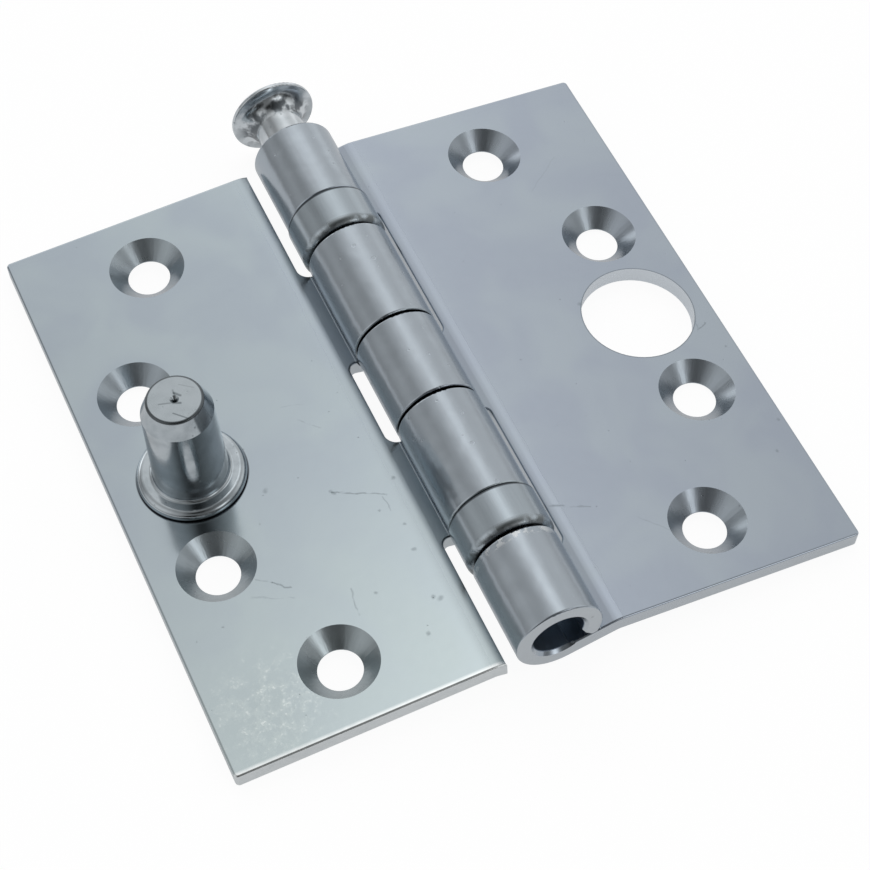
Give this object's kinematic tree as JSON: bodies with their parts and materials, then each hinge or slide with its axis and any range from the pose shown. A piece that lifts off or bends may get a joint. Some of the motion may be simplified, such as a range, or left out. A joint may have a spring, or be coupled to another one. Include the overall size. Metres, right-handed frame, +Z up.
{
  "type": "ball bearing butt hinge",
  "caption": "Square steel butt hinge with a loose pin, two ball bearings in the barrel, countersunk screw holes and a dog bolt that enters a hole in the other leaf when closed.",
  "frame": {"origin": "on the table under the middle of the open hinge's bounding box, straight below the pin axis", "axes": "+X across the leaves towards the leaf with the large hole, +Y along the pin towards its head, +Z up away from the table"},
  "size_m": [0.0886, 0.0976, 0.0212],
  "materials": {
    "zinc_plated_leaf": "bright zinc plating on cold rolled sheet, satin with a cloudy bluish cast",
    "turned_plated_steel": "bright zinc plating over fine turning marks",
    "pressed_plated_shell": "bright zinc plating on a smooth pressed cup",
    "hardened_race": "ground hardened steel, lightly oiled",
    "polished_ball": "polished bearing steel",
    "cage_steel": "plain stamped steel"
  },
  "bodies": {
    "right_leaf_side": {"right_leaf": "zinc_plated_leaf", "upper_upper_race": "hardened_race", "lower_bearing_shell": "pressed_plated_shell", "lower_lower_race": "hardened_race"},
    "left_leaf_side": {"left_leaf": "zinc_plated_leaf", "dog_bolt": "turned_plated_steel", "upper_bearing_shell": "pressed_plated_shell", "upper_lower_race": "hardened_race", "lower_upper_race": "hardened_race"},
    "pin": {"hinge_pin": "turned_plated_steel"},
    "upper_balls": {"upper_ball_cage": "cage_steel", "upper_ball_01": "polished_ball", "upper_ball_02": "polished_ball", "upper_ball_03": "polished_ball", "upper_ball_04": "polished_ball", "upper_ball_05": "polished_ball", "upper_ball_06": "polished_ball", "upper_ball_07": "polished_ball", "upper_ball_08": "polished_ball", "upper_ball_09": "polished_ball", "upper_ball_10": "polished_ball", "upper_ball_11": "polished_ball", "upper_ball_12": "polished_ball"},
    "lower_balls": {"lower_ball_cage": "cage_steel", "lower_ball_01": "polished_ball", "lower_ball_02": "polished_ball", "lower_ball_03": "polished_ball", "lower_ball_04": "polished_ball", "lower_ball_05": "polished_ball", "lower_ball_06": "polished_ball", "lower_ball_07": "polished_ball", "lower_ball_08": "polished_ball", "lower_ball_09": "polished_ball", "lower_ball_10": "polished_ball", "lower_ball_11": "polished_ball", "lower_ball_12": "polished_ball"}
  },
  "joints": [
    {"name": "leaf_swing", "type": "hinge", "parent": "right_leaf_side", "child": "left_leaf_side", "pos_m": [0, 0, 0.0063], "axis": [0, 1, 0], "range_deg": [-108, 187]},
    {"name": "pin_slide", "type": "slide", "parent": "right_leaf_side", "child": "pin", "axis": [0, 1, 0], "range_m": [-0.0047, 0.09]},
    {"name": "upper_cage_turn", "type": "hinge", "parent": "right_leaf_side", "child": "upper_balls", "pos_m": [0, 0, 0.0063], "axis": [0, 1, 0], "range_deg": [-54.5, 94]},
    {"name": "lower_cage_turn", "type": "hinge", "parent": "right_leaf_side", "child": "lower_balls", "pos_m": [0, 0, 0.0063], "axis": [0, 1, 0], "range_deg": [-54.5, 94]}
  ],
  "couplings": [
    {"joint": "upper_cage_turn", "follows": "leaf_swing", "ratio": 0.5},
    {"joint": "lower_cage_turn", "follows": "leaf_swing", "ratio": 0.5}
  ]
}
